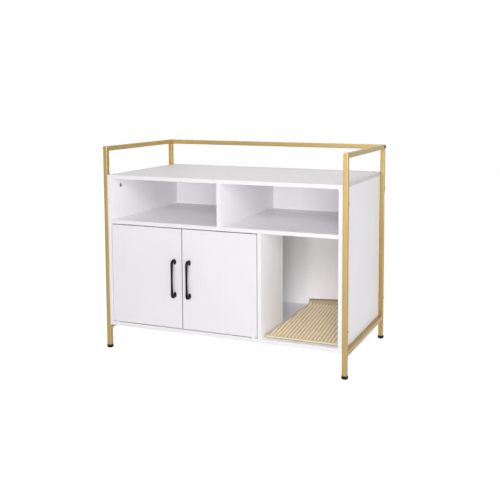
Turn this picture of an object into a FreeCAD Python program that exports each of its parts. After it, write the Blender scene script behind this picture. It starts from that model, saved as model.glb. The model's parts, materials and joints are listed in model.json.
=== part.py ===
"""Cat cabinet: a white flat-pack litter cabinet between two square-tube side frames.

Millimetres, +Z up, X to the right, Y to the rear. The origin is on the floor, midway between
the two sides and midway between the handles' front and the rear feet's rear.
"""
import FreeCAD
import Part
import os
import re

Vector = FreeCAD.Vector
Rotation = FreeCAD.Rotation

SIZES = {
    # overall, measured over the tubes
    "overall_width": 1000,
    "overall_depth": 520,
    "overall_height": 806,
    # square tube of the side frames
    "tube_size": 18,
    "tube_wall": 1.2,
    "tube_corner": 2.2,
    "bottom_rail_drop": 16,
    # boards and the spaces between them
    "board_thickness": 15,
    "back_thickness": 4,
    "arris_radius": 0.8,
    "guard_height": 111,
    "cubby_height": 161.5,
    "floor_surface_height": 111,
    "lower_divider_place": 164,
    "lower_divider_depth": 215,
    # doors and their pivots
    "door_gap": 3,
    "door_clearance": 0.5,
    "pivot_setback": 18,
    "pin_diameter": 5,
    "pin_seat_depth": 10,
    "bush_diameter": 8,
    "bush_length": 12,
    "pin_end_clearance": 1,
    "washer_diameter": 14,
    "washer_clearance": 0.3,
    "running_clearance": 0.05,
    # bow handles
    "handle_reach": 28,
    "handle_spacing": 128,
    "handle_inset": 30,
    "handle_centre_rise": 1.25,
    "handle_corner_radius": 15,
    "handle_foot_height": 22,
    "handle_foot_width": 13,
    "handle_flare_height": 17.5,
    "handle_flare_width": 11.6,
    "handle_flare_place": 3.5,
    "handle_neck_height": 15,
    "handle_neck_width": 11,
    "handle_neck_place": 9,
    "handle_grip_end_diameter": 10.5,
    "handle_grip_diameter": 8,
    "handle_screw_diameter": 4,
    "handle_screw_bite": 11,
    "handle_screw_head_diameter": 8,
    "handle_screw_head_height": 2.4,
    # magnetic catch
    "catch_width": 52,
    "catch_depth": 15,
    "catch_height": 18,
    "magnet_width": 10,
    "magnet_depth": 9,
    "magnet_height": 8,
    "magnet_place": 11,
    "magnet_drop": 10.5,
    "catch_screw_place": 20.5,
    "catch_screw_diameter": 3.5,
    "catch_screw_bite": 9,
    "catch_screw_head_diameter": 6.5,
    "catch_screw_head_height": 2.5,
    "strike_diameter": 14,
    "strike_thickness": 1.2,
    "strike_clearance": 0.3,
    "strike_screw_diameter": 3,
    "strike_screw_bite": 9,
    # levelling feet
    "foot_pad_diameter": 25,
    "foot_pad_height": 12,
    "foot_edge_radius": 4.5,
    "foot_rim_radius": 1,
    "foot_clearance": 0.2,
    "foot_stem_diameter": 8,
    "foot_stem_length": 30,
    "leg_insert_length": 36,
    # bolts through the legs
    "frame_bolt_diameter": 6,
    "frame_bolt_head_diameter": 10.5,
    "frame_bolt_head_height": 2.8,
    "frame_bolt_bite": 10,
    "frame_bolt_low_rise": 76,
    "frame_bolt_high_drop": 52,
    "panel_insert_diameter": 9,
    "panel_insert_length": 12,
    "back_bolt_head_diameter": 13,
    "back_bolt_bite": 16,
    "back_plug_length": 22,
    "rail_cap_thickness": 2,
    "rail_cap_spigot": 3.5,
    # flat-pack joints
    "cam_diameter": 15,
    "cam_depth": 12,
    "cam_edge_distance": 32,
    "cam_slot_width": 2,
    "cam_slot_depth": 1.6,
    "cam_slot_length": 9,
    "cam_bolt_diameter": 6,
    "cam_bolt_bite": 10,
    "cam_bolt_overlap": 4,
    "joint_setback": 69,
    "dowel_diameter": 8,
    "dowel_length": 30,
    "dowel_bite": 10,
    "divider_joint_setback": 55,
    "divider_screw_diameter": 5,
    "divider_screw_bite": 35,
    "divider_screw_head_diameter": 9,
    "divider_screw_head_height": 3.2,
    "nail_diameter": 2,
    "nail_length": 18,
    "nail_head_diameter": 4.6,
    "nail_head_height": 1.1,
    "nail_margin": 40,
    # woven mat in the entry compartment
    "mat_thickness": 9,
    "mat_front_setback": 24,
    "mat_side_clearance": 3,
    "mat_upturn": 38,
    "mat_bend_radius": 7,
    "soft_clearance": 0.3,
    # what bores and cuts share
    "fit_clearance": 0.1,
    "bore_end_clearance": 0.3,
    "overrun": 5,
}
HANDLE_BEND_TURNS = (30, 60)
HANDLE_GRIP_SHARES = (0.95, 0.75, 0.4, 0)
NAIL_COLUMNS = 6
DIVIDER_NAIL_SHARES = (0.35, 0.7)

# Levels and faces that several pieces share, as expressions over the sheet.
FOOT_OVERHANG = "((foot_pad_diameter - tube_size) / 2)"
FRONT = f"((handle_reach - overall_depth - {FOOT_OVERHANG}) / 2)"
REAR = f"((handle_reach + overall_depth - {FOOT_OVERHANG}) / 2)"
BOARD_REAR = f"({REAR} - back_thickness)"
SIDE_X = "(overall_width / 2 - tube_size)"
INNER_X = f"({SIDE_X} - board_thickness)"
TOP_SURFACE = "(overall_height - guard_height)"
TOP_UNDER = f"({TOP_SURFACE} - board_thickness)"
SHELF_SURFACE = f"({TOP_UNDER} - cubby_height)"
SHELF_UNDER = f"({SHELF_SURFACE} - board_thickness)"
SHELF_MIDDLE = f"({SHELF_SURFACE} - board_thickness / 2)"
CABINET_BOTTOM = "(floor_surface_height - board_thickness)"
BOTTOM_MIDDLE = "(floor_surface_height - board_thickness / 2)"
RAIL_BOTTOM = f"({CABINET_BOTTOM} - bottom_rail_drop)"
LEG_BASE = "(foot_pad_height + foot_clearance)"
UPPER_RAIL_UNDER = "(overall_height - tube_size)"
UPPER_RAIL_MIDDLE = "(overall_height - tube_size / 2)"
DIVIDER_LEFT = "(lower_divider_place - board_thickness / 2)"
DIVIDER_RIGHT = "(lower_divider_place + board_thickness / 2)"
DIVIDER_REAR = f"({FRONT} + lower_divider_depth)"
DOOR_REAR = f"({FRONT} + board_thickness)"
DOOR_BOTTOM = "(floor_surface_height + door_gap)"
DOOR_TOP = f"({SHELF_UNDER} - door_gap)"
DOOR_MIDDLE = f"(({DOOR_BOTTOM} + {DOOR_TOP}) / 2)"
DOOR_MEETING = f"(({DIVIDER_LEFT} - {INNER_X}) / 2)"
# The door's hinge-side corner turns about the pivot, so its gap follows that corner's radius.
HINGE_GAP = "(sqrt(pivot_setback ^ 2 + (board_thickness / 2) ^ 2) - pivot_setback + door_clearance)"
PIVOT_Y = f"({FRONT} + board_thickness / 2)"
LEFT_PIVOT_X = f"(-{INNER_X} + {HINGE_GAP} + pivot_setback)"
RIGHT_PIVOT_X = f"({DIVIDER_LEFT} - {HINGE_GAP} - pivot_setback)"
HANDLE_MIDDLE = f"({DOOR_MIDDLE} + handle_centre_rise)"
HANDLE_HALF = "((handle_spacing + handle_foot_height) / 2)"
FRAME_BOLT_LEVELS = {
    "low": f"({CABINET_BOTTOM} + frame_bolt_low_rise)",
    "high": f"({TOP_UNDER} - frame_bolt_high_drop)",
}
JOINT_FRONT = f"({FRONT} + joint_setback)"
JOINT_REAR = f"({BOARD_REAR} - joint_setback)"
JOINT_MIDDLE = f"(({FRONT} + {BOARD_REAR}) / 2)"

TURN = {
    "+X": Rotation(Vector(0, 1, 0), 90),
    "-X": Rotation(Vector(0, 1, 0), -90),
    "+Y": Rotation(Vector(1, 0, 0), -90),
    "-Y": Rotation(Vector(1, 0, 0), 90),
    "+Z": Rotation(),
    "-Z": Rotation(Vector(1, 0, 0), 180),
}
MITRE_TURN = Rotation(Vector(1, 0, 0), 45)
HANDLE_FOOT_TURN = Rotation(Vector(0, 0, 1), Vector(-1, 0, 0), Vector(0, -1, 0), "ZXY")
SIDES = (("left", -1), ("right", 1))

doc = FreeCAD.newDocument("CatCabinet")
sheet = doc.addObject("Spreadsheet::Sheet", "Sizes")
nodes = []
bores = {}


def fill_sheet():
    """Writes each driving dimension beside its name."""
    for row, (name, value) in enumerate(SIZES.items(), start=1):
        sheet.set(f"A{row}", name)
        sheet.set(f"B{row}", str(value))
        sheet.setAlias(f"B{row}", name)
    doc.recompute()


def bound(text):
    """The expression with each size named through the sheet."""
    return re.sub(r"[a-z_]+", lambda word: f"Sizes.{word[0]}" if word[0] in SIZES else word[0], text)


def size(name):
    return float(sheet.get(name))


def place(item, at, rotation):
    item.Placement = FreeCAD.Placement(Vector(), rotation)
    for axis, text in zip("xyz", at):
        item.setExpression(f"Placement.Base.{axis}", bound(text))


def add(kind, label):
    item = doc.addObject(kind, label)
    item.Label = label
    return item


def box(label, x_span, y_span, z_span):
    """A block between two faces along each axis."""
    item = add("Part::Box", label)
    for side, (low, high) in zip(("Length", "Width", "Height"), (x_span, y_span, z_span)):
        item.setExpression(side, bound(f"({high}) - ({low})"))
    place(item, (x_span[0], y_span[0], z_span[0]), Rotation())
    return item


def cylinder(label, way, at, radius, length):
    """A round bar that starts at a point and runs the given way."""
    item = add("Part::Cylinder", label)
    item.setExpression("Radius", bound(radius))
    item.setExpression("Height", bound(length))
    place(item, at, TURN[way])
    return item


def cone(label, way, at, start_radius, end_radius, length):
    item = add("Part::Cone", label)
    item.setExpression("Radius1", bound(start_radius))
    item.setExpression("Radius2", bound(end_radius))
    item.setExpression("Height", bound(length))
    place(item, at, TURN[way])
    return item


def fuse(label, pieces):
    item = add("Part::MultiFuse", label)
    item.Shapes = pieces
    return item


def cut(label, base, tools):
    item = add("Part::Cut", label)
    item.Base = base
    item.Tool = tools[0] if len(tools) == 1 else fuse(f"{label}_cutters", tools)
    return item


def group(label, pieces):
    """Identical small pieces, each its own solid."""
    item = add("Part::Compound", label)
    item.Links = pieces
    nodes.append(item)
    return item


def node(item, label):
    item.Label = label
    nodes.append(item)
    return item


def ease(label, base, radius, chosen):
    """Rounds the chosen edges of a piece."""
    doc.recompute()
    bounds = base.Shape.BoundBox
    item = add("Part::Fillet", label)
    item.Base = base
    item.Edges = [(number, radius, radius) for number, edge in enumerate(base.Shape.Edges, start=1)
                  if chosen(edge.BoundBox, bounds)]
    return item


def on_front(edge, bounds):
    return abs(edge.YMax - bounds.YMin) < size("fit_clearance")


def on_front_or_rear(edge, bounds):
    return on_front(edge, bounds) or abs(edge.YMin - bounds.YMax) < size("fit_clearance")


def on_front_or_top(edge, bounds):
    return on_front(edge, bounds) or abs(edge.ZMin - bounds.ZMax) < size("fit_clearance")


def at_bottom(edge, bounds):
    return abs(edge.ZMax - bounds.ZMin) < size("fit_clearance")


def at_top(edge, bounds):
    return abs(edge.ZMin - bounds.ZMax) < size("fit_clearance")


def at_outer_side(edge, bounds):
    """Picks the rim that is farthest from the middle of the object."""
    farthest = max(abs(bounds.XMin), abs(bounds.XMax))
    return abs(edge.XMin + edge.XMax) / 2 > farthest - size("fit_clearance")


def along(axis):
    """Picks the edges that run the whole way along one axis."""
    def chosen(edge, bounds):
        return getattr(edge, f"{axis}Length") > getattr(bounds, f"{axis}Length") / 2
    return chosen


def bore(owner, way, at, diameter, depth, clearance="fit_clearance"):
    """Notes a round hole for a piece that is made later."""
    holes = bores.setdefault(owner, [])
    label = f"{owner}_bore_{len(holes) + 1}"
    holes.append(cylinder(label, way, at, f"({diameter}) / 2 + {clearance}", depth))


def bored(label, base):
    """The piece with the holes that were noted for it."""
    doc.recompute()
    holes = bores.pop(label, [])
    item = cut(f"{label}_bored", base, holes) if holes else base
    return node(item, label)


def shifted(text, way, amount):
    """A coordinate moved by an amount along a signed axis."""
    return f"({text}) {way[0]} ({amount})"


def moved(at, way, amount):
    """A point moved along a signed axis."""
    number = "XYZ".index(way[1])
    return tuple(shifted(text, way, amount) if index == number else text for index, text in enumerate(at))


def reverse(way):
    return ("-" if way[0] == "+" else "+") + way[1]


def mirrored(sign, text):
    return text if sign > 0 else f"-({text})"


def x_between(sign, near, far):
    """An X span between two distances from the middle, on the given side."""
    return (near, far) if sign > 0 else (f"-({far})", f"-({near})")


def outward(sign):
    return "+X" if sign > 0 else "-X"


# Boards


def board(label, x_span, y_span, z_span, eased):
    blank = box(f"{label}_blank", x_span, y_span, z_span)
    return bored(label, ease(f"{label}_eased", blank, size("arris_radius"), eased))


def make_boards():
    full_depth = (FRONT, REAR)
    board_depth = (FRONT, BOARD_REAR)
    inner_width = (f"-{INNER_X}", INNER_X)
    board("top_panel", (f"-{SIDE_X}", SIDE_X), full_depth, (TOP_UNDER, TOP_SURFACE),
          on_front_or_top)
    for side, sign in SIDES:
        board(f"{side}_side_panel", x_between(sign, INNER_X, SIDE_X), full_depth,
              (CABINET_BOTTOM, TOP_UNDER), on_front)
    board("middle_shelf", inner_width, board_depth, (SHELF_UNDER, SHELF_SURFACE), on_front)
    board("bottom_panel", inner_width, board_depth, (CABINET_BOTTOM, "floor_surface_height"), on_front)
    board("upper_divider", ("-board_thickness / 2", "board_thickness / 2"), board_depth,
          (SHELF_SURFACE, TOP_UNDER), on_front)
    board("lower_divider", (DIVIDER_LEFT, DIVIDER_RIGHT), (FRONT, DIVIDER_REAR),
          ("floor_surface_height", SHELF_UNDER), on_front_or_rear)
    back_width = (f"-{INNER_X} + fit_clearance", f"{INNER_X} - fit_clearance")
    back_depth = (BOARD_REAR, REAR)
    bored("upper_back_panel", box("upper_back_blank", back_width, back_depth, (SHELF_MIDDLE, TOP_UNDER)))
    bored("lower_back_panel", box("lower_back_blank", back_width, back_depth, (CABINET_BOTTOM, SHELF_MIDDLE)))


# Side frames


def tube(label, length_axis, spans):
    """Square tube with rounded corners, open at both ends."""
    outer = box(f"{label}_outer", *spans)
    outer = ease(f"{label}_outer_eased", outer, size("tube_corner"), along(length_axis))
    inner_spans = []
    for axis, (low, high) in zip("XYZ", spans):
        if axis == length_axis:
            inner_spans.append((f"({low}) - overrun", f"({high}) + overrun"))
        else:
            inner_spans.append((f"({low}) + tube_wall", f"({high}) - tube_wall"))
    inner = box(f"{label}_inner", *inner_spans)
    inner_corner = size("tube_corner") - size("tube_wall")
    inner = ease(f"{label}_inner_eased", inner, inner_corner, along(length_axis))
    return cut(f"{label}_tube", outer, [inner])


def mitre(label, x_low, toward_rail):
    """A block on one side of the front corner's 45 degree plane."""
    item = add("Part::Box", label)
    item.setExpression("Length", bound("tube_size + 2 * overrun"))
    item.setExpression("Width", bound("tube_size * 2"))
    item.setExpression("Height", bound("tube_size * 2"))
    corner_y = f"{FRONT} + tube_size / 2"
    corner_z = "overall_height - tube_size / 2"
    if toward_rail:
        at_y = f"{corner_y} + tube_size * sqrt(2) / 2"
        at_z = f"{corner_z} - tube_size * sqrt(2) / 2"
    else:
        at_y = f"{corner_y} - tube_size * sqrt(2) / 2"
        at_z = f"{corner_z} - tube_size * sqrt(2) * 3 / 2"
    place(item, (f"({x_low}) - overrun", at_y, at_z), MITRE_TURN)
    return item


def make_frames():
    front_y = (FRONT, f"{FRONT} + tube_size")
    rear_y = (f"{REAR} - tube_size", REAR)
    between_legs = (f"{FRONT} + tube_size", f"{REAR} - tube_size")
    for side, sign in SIDES:
        tube_x = x_between(sign, SIDE_X, "overall_width / 2")
        front_leg = tube(f"front_{side}_leg", "Z", (tube_x, front_y, (LEG_BASE, "overall_height")))
        leg_mitre = mitre(f"front_{side}_leg_mitre", tube_x[0], True)
        bored(f"front_{side}_leg", cut(f"front_{side}_leg_cut", front_leg, [leg_mitre]))
        rear_leg = tube(f"rear_{side}_leg", "Z", (tube_x, rear_y, (LEG_BASE, UPPER_RAIL_UNDER)))
        bored(f"rear_{side}_leg", rear_leg)
        rail_y = (FRONT, f"{REAR} - rail_cap_thickness")
        top_rail = tube(f"{side}_top_rail", "Y", (tube_x, rail_y, (UPPER_RAIL_UNDER, "overall_height")))
        rail_mitre = mitre(f"{side}_top_rail_mitre", tube_x[0], False)
        bored(f"{side}_top_rail", cut(f"{side}_top_rail_cut", top_rail, [rail_mitre]))
        low_z = (RAIL_BOTTOM, f"{RAIL_BOTTOM} + tube_size")
        bored(f"{side}_bottom_rail", tube(f"{side}_bottom_rail", "Y", (tube_x, between_legs, low_z)))
    back_x = (f"-{SIDE_X}", SIDE_X)
    bored("back_top_rail", tube("back_top_rail", "X", (back_x, rear_y, (UPPER_RAIL_UNDER, "overall_height"))))


def inside_tube(low, high):
    """The span of a plug that fits inside a tube."""
    return (f"({low}) + tube_wall + fit_clearance", f"({high}) - tube_wall - fit_clearance")


def plug_corner():
    return size("tube_corner") - size("tube_wall")


def make_rail_caps():
    """Dark caps in the rear ends of the two top rails."""
    caps = []
    for side, sign in SIDES:
        low, high = x_between(sign, SIDE_X, "overall_width / 2")
        flange = box(f"{side}_cap_flange", (low, high), (f"{REAR} - rail_cap_thickness", REAR),
                     (UPPER_RAIL_UNDER, "overall_height"))
        flange = ease(f"{side}_cap_flange_eased", flange, size("tube_corner"), along("Y"))
        spigot = box(f"{side}_cap_spigot", inside_tube(low, high),
                     (f"{REAR} - rail_cap_thickness - rail_cap_spigot", f"{REAR} - rail_cap_thickness"),
                     inside_tube(UPPER_RAIL_UNDER, "overall_height"))
        spigot = ease(f"{side}_cap_spigot_eased", spigot, plug_corner(), along("Y"))
        caps.append(fuse(f"{side}_rail_cap", [flange, spigot]))
    group("top_rail_caps", caps)


def make_back_rail_fixings():
    """Threaded plugs in the back rail's ends, and the bolts that draw it to the side frames."""
    bolts = []
    plugs = []
    middle_y = f"{REAR} - tube_size / 2"
    for side, sign in SIDES:
        way = reverse(outward(sign))
        start = (mirrored(sign, "overall_width / 2"), middle_y, UPPER_RAIL_MIDDLE)
        head = cylinder(f"{side}_back_bolt_head", outward(sign), start,
                        "back_bolt_head_diameter / 2", "frame_bolt_head_height")
        head = ease(f"{side}_back_bolt_head_eased", head, size("frame_bolt_head_height") / 2, at_outer_side)
        shank = cylinder(f"{side}_back_bolt_shank", way, start, "frame_bolt_diameter / 2",
                         "tube_size + back_bolt_bite")
        bolts.append(fuse(f"{side}_back_bolt", [head, shank]))
        bore(f"{side}_top_rail", way, moved(start, outward(sign), "overrun"), "frame_bolt_diameter",
             "tube_size + 2 * overrun")
        plug_x = x_between(sign, f"{SIDE_X} - back_plug_length", SIDE_X)
        plug = box(f"{side}_back_plug_blank", plug_x, inside_tube(f"{REAR} - tube_size", REAR),
                   inside_tube(UPPER_RAIL_UNDER, "overall_height"))
        plug = ease(f"{side}_back_plug_eased", plug, plug_corner(), along("X"))
        hole = cylinder(f"{side}_back_plug_bore", way, start, "frame_bolt_diameter / 2 + fit_clearance",
                        "tube_size + back_plug_length + overrun")
        plugs.append(cut(f"{side}_back_plug", plug, [hole]))
    group("back_rail_bolts", bolts)
    group("back_rail_plugs", plugs)


def leg_places():
    """Each leg's name, side, X and Y."""
    for side, sign in SIDES:
        leg_x = mirrored(sign, "overall_width / 2 - tube_size / 2")
        yield f"front_{side}", side, sign, leg_x, f"{FRONT} + tube_size / 2"
        yield f"rear_{side}", side, sign, leg_x, f"{REAR} - tube_size / 2"


def make_feet():
    """Levelling feet, each screwed into a threaded plug in its leg."""
    inserts = []
    for leg, side, sign, leg_x, leg_y in leg_places():
        low, high = x_between(sign, SIDE_X, "overall_width / 2")
        y_low, y_high = f"{leg_y} - tube_size / 2", f"{leg_y} + tube_size / 2"
        insert = box(f"{leg}_insert_blank", inside_tube(low, high), inside_tube(y_low, y_high),
                     (LEG_BASE, f"{LEG_BASE} + leg_insert_length"))
        insert = ease(f"{leg}_insert_eased", insert, plug_corner(), along("Z"))
        hole = cylinder(f"{leg}_insert_bore", "+Z", (leg_x, leg_y, f"{LEG_BASE} - overrun"),
                        "foot_stem_diameter / 2 + running_clearance", "leg_insert_length + 2 * overrun")
        inserts.append(cut(f"{leg}_insert", insert, [hole]))
        pad = cylinder(f"{leg}_foot_blank", "+Z", (leg_x, leg_y, "0"), "foot_pad_diameter / 2",
                       "foot_pad_height")
        pad = ease(f"{leg}_foot_edge", pad, size("foot_edge_radius"), at_bottom)
        pad = ease(f"{leg}_foot_rim", pad, size("foot_rim_radius"), at_top)
        stem = cylinder(f"{leg}_foot_stem", "+Z", (leg_x, leg_y, "foot_pad_height / 2"),
                        "foot_stem_diameter / 2", "foot_pad_height / 2 + foot_stem_length")
        node(fuse(f"{leg}_foot_fused", [pad, stem]), f"{leg}_foot")
    group("leg_inserts", inserts)


def make_frame_bolts():
    """Bolts through the legs into threaded inserts in the side panels."""
    bolts = []
    inserts = []
    for leg, side, sign, leg_x, leg_y in leg_places():
        way = reverse(outward(sign))
        for level, bolt_z in FRAME_BOLT_LEVELS.items():
            label = f"{leg}_{level}"
            start = (mirrored(sign, "overall_width / 2"), leg_y, bolt_z)
            seat = (mirrored(sign, SIDE_X), leg_y, bolt_z)
            head = cylinder(f"{label}_bolt_head", outward(sign), start,
                            "frame_bolt_head_diameter / 2", "frame_bolt_head_height")
            head = ease(f"{label}_bolt_head_eased", head, size("frame_bolt_head_height") / 2, at_outer_side)
            shank = cylinder(f"{label}_bolt_shank", way, start, "frame_bolt_diameter / 2",
                             "tube_size + frame_bolt_bite")
            bolts.append(fuse(f"{label}_bolt", [head, shank]))
            bore(f"{leg}_leg", way, moved(start, outward(sign), "overrun"), "frame_bolt_diameter",
                 "tube_size + 2 * overrun")
            sleeve = cylinder(f"{label}_insert_sleeve", way, seat, "panel_insert_diameter / 2",
                              "panel_insert_length")
            hole = cylinder(f"{label}_insert_hole", way, moved(seat, outward(sign), "overrun"),
                            "frame_bolt_diameter / 2 + fit_clearance",
                            "overrun + frame_bolt_bite + bore_end_clearance")
            inserts.append(cut(f"{label}_insert", sleeve, [hole]))
            bore(f"{side}_side_panel", way, moved(seat, outward(sign), "overrun"), "panel_insert_diameter",
                 "overrun + panel_insert_length + bore_end_clearance")
    group("frame_bolts", bolts)
    group("panel_inserts", inserts)


# Flat-pack joints


def cam_joint(label, cam_owner, cam_way, cam_face, bolt_owner, bolt_way, meeting):
    """A cam sunk in one board's face draws a bolt that is screwed into another board.

    cam_face is the cam's centre on its face, cam_way runs into the board, meeting is where the
    bolt's axis crosses the joint, and bolt_way runs from the joint into the bolt's own board.
    """
    body = cylinder(f"{label}_cam_body", cam_way, cam_face, "cam_diameter / 2", "cam_depth")
    mouth = cylinder(f"{label}_cam_mouth", bolt_way, moved(meeting, reverse(bolt_way),
                     "cam_edge_distance + cam_bolt_overlap"),
                     "cam_bolt_diameter / 2 + fit_clearance", "cam_diameter")
    slots = [slot(f"{label}_cam_slot_{number}", cam_way, cam_face, flat)
             for number, flat in enumerate(("first", "second"), start=1)]
    cam = cut(f"{label}_cam", body, [mouth] + slots)
    bore(cam_owner, cam_way, moved(cam_face, reverse(cam_way), "overrun"), "cam_diameter",
         "overrun + cam_depth + fit_clearance")
    bore(cam_owner, reverse(bolt_way), moved(meeting, bolt_way, "overrun"), "cam_bolt_diameter",
         "overrun + cam_edge_distance")
    tip = moved(meeting, bolt_way, "cam_bolt_bite")
    bolt = cylinder(f"{label}_cam_bolt", reverse(bolt_way), tip, "cam_bolt_diameter / 2",
                    "cam_bolt_bite + cam_edge_distance")
    bore(bolt_owner, bolt_way, moved(meeting, reverse(bolt_way), "overrun"), "cam_bolt_diameter",
         "overrun + cam_bolt_bite + bore_end_clearance")
    return cam, bolt


def slot(label, way, centre, flat):
    """One arm of the cross in a cam's face."""
    depth_axis = "XYZ".index(way[1])
    long_axis, short_axis = [index for index in range(len(centre)) if index != depth_axis]
    if flat == "second":
        long_axis, short_axis = short_axis, long_axis
    spans = [None] * len(centre)
    spans[long_axis] = (f"({centre[long_axis]}) - cam_slot_length / 2",
                        f"({centre[long_axis]}) + cam_slot_length / 2")
    spans[short_axis] = (f"({centre[short_axis]}) - cam_slot_width / 2",
                         f"({centre[short_axis]}) + cam_slot_width / 2")
    outside = shifted(centre[depth_axis], reverse(way), "overrun")
    inside = shifted(centre[depth_axis], way, "cam_slot_depth")
    spans[depth_axis] = (outside, inside) if way[0] == "+" else (inside, outside)
    return box(label, *spans)


def dowel_joint(label, edge_owner, face_owner, way, meeting):
    """A dowel from one board's edge into another board's face, along way."""
    start = moved(meeting, reverse(way), "dowel_length - dowel_bite")
    dowel = cylinder(f"{label}_dowel", way, start, "dowel_diameter / 2", "dowel_length")
    bore(edge_owner, reverse(way), moved(meeting, way, "overrun"), "dowel_diameter",
         "overrun + dowel_length - dowel_bite + bore_end_clearance")
    bore(face_owner, way, moved(meeting, reverse(way), "overrun"), "dowel_diameter",
         "overrun + dowel_bite + bore_end_clearance")
    return dowel


def make_flat_pack_joints():
    cams = []
    bolts = []
    dowels = []
    for side, sign in SIDES:
        side_panel = f"{side}_side_panel"
        middle_x = mirrored(sign, f"{INNER_X} + board_thickness / 2")
        for end, joint_y in (("front", JOINT_FRONT), ("rear", JOINT_REAR)):
            cam_face = (mirrored(sign, INNER_X), joint_y, f"{TOP_UNDER} - cam_edge_distance")
            cam, bolt = cam_joint(f"{side}_{end}_top", side_panel, outward(sign), cam_face,
                                  "top_panel", "+Z", (middle_x, joint_y, TOP_UNDER))
            cams.append(cam)
            bolts.append(bolt)
            for owner, under, middle in (("middle_shelf", SHELF_UNDER, SHELF_MIDDLE),
                                         ("bottom_panel", CABINET_BOTTOM, BOTTOM_MIDDLE)):
                cam_face = (mirrored(sign, f"{INNER_X} - cam_edge_distance"), joint_y, under)
                cam, bolt = cam_joint(f"{side}_{end}_{owner}", owner, "+Z", cam_face, side_panel,
                                      outward(sign), (mirrored(sign, INNER_X), joint_y, middle))
                cams.append(cam)
                bolts.append(bolt)
        dowels.append(dowel_joint(f"{side}_top", side_panel, "top_panel", "+Z",
                                  (middle_x, JOINT_MIDDLE, TOP_UNDER)))
        for owner, middle in (("middle_shelf", SHELF_MIDDLE), ("bottom_panel", BOTTOM_MIDDLE)):
            dowels.append(dowel_joint(f"{side}_{owner}", owner, side_panel, outward(sign),
                                      (mirrored(sign, INNER_X), JOINT_MIDDLE, middle)))
    for divider, place_x, rear, above, level in (
            ("upper_divider", "0", BOARD_REAR, "top_panel", TOP_UNDER),
            ("lower_divider", "lower_divider_place", DIVIDER_REAR, "middle_shelf", SHELF_UNDER)):
        for end, joint_y in (("front", f"{FRONT} + divider_joint_setback"),
                             ("rear", f"{rear} - divider_joint_setback")):
            dowels.append(dowel_joint(f"{divider}_{end}", divider, above, "+Z", (place_x, joint_y, level)))
    group("cam_locks", cams)
    group("cam_bolts", bolts)
    group("wood_dowels", dowels)


def make_divider_screws():
    """Screws up through the board below into each divider's lower edge."""
    screws = []
    for divider, place_x, rear, below, under in (
            ("upper_divider", "0", BOARD_REAR, "middle_shelf", SHELF_UNDER),
            ("lower_divider", "lower_divider_place", DIVIDER_REAR, "bottom_panel", CABINET_BOTTOM)):
        for end, joint_y in (("front", f"{FRONT} + divider_joint_setback"),
                             ("rear", f"{rear} - divider_joint_setback")):
            start = (place_x, joint_y, under)
            label = f"{divider}_{end}"
            head = cone(f"{label}_screw_head", "+Z", start, "divider_screw_head_diameter / 2",
                        "divider_screw_diameter / 2", "divider_screw_head_height")
            shank = cylinder(f"{label}_screw_shank", "+Z", start, "divider_screw_diameter / 2",
                             "board_thickness + divider_screw_bite")
            screws.append(fuse(f"{label}_screw", [head, shank]))
            bore(below, "+Z", moved(start, "-Z", "overrun"), "divider_screw_head_diameter",
                 "overrun + divider_screw_head_height")
            bore(below, "+Z", start, "divider_screw_diameter", "board_thickness + overrun")
            bore(divider, "+Z", start, "divider_screw_diameter",
                 "board_thickness + divider_screw_bite + bore_end_clearance")
    group("divider_screws", screws)


def make_back_nails():
    """Nails through the thin back boards into the edges of the boards in front of them."""
    nails = []

    def nail(owner, edge_owner, at_x, at_z):
        start = (at_x, REAR, at_z)
        label = f"back_nail_{len(nails) + 1}"
        head = cylinder(f"{label}_head", "-Y", start, "nail_head_diameter / 2", "nail_head_height")
        shank = cylinder(f"{label}_shank", "-Y", start, "nail_diameter / 2", "nail_length")
        nails.append(fuse(label, [head, shank]))
        bore(owner, "-Y", moved(start, "+Y", "overrun"), "nail_head_diameter",
             "overrun + nail_head_height + fit_clearance")
        bore(owner, "-Y", start, "nail_diameter", "back_thickness + overrun")
        bore(edge_owner, "-Y", start, "nail_diameter", "nail_length + bore_end_clearance")

    for column in range(NAIL_COLUMNS):
        share = column / (NAIL_COLUMNS - 1)
        at_x = f"({INNER_X} - nail_margin) * ({2 * share - 1})"
        nail("upper_back_panel", "middle_shelf", at_x, f"{SHELF_SURFACE} - board_thickness / 4")
        nail("lower_back_panel", "middle_shelf", at_x, f"{SHELF_UNDER} + board_thickness / 4")
        nail("lower_back_panel", "bottom_panel", at_x, BOTTOM_MIDDLE)
    for share in DIVIDER_NAIL_SHARES:
        at_z = f"{SHELF_SURFACE} + cubby_height * {share}"
        nail("upper_back_panel", "upper_divider", "0", at_z)
    group("back_panel_nails", nails)


# Doors


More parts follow.
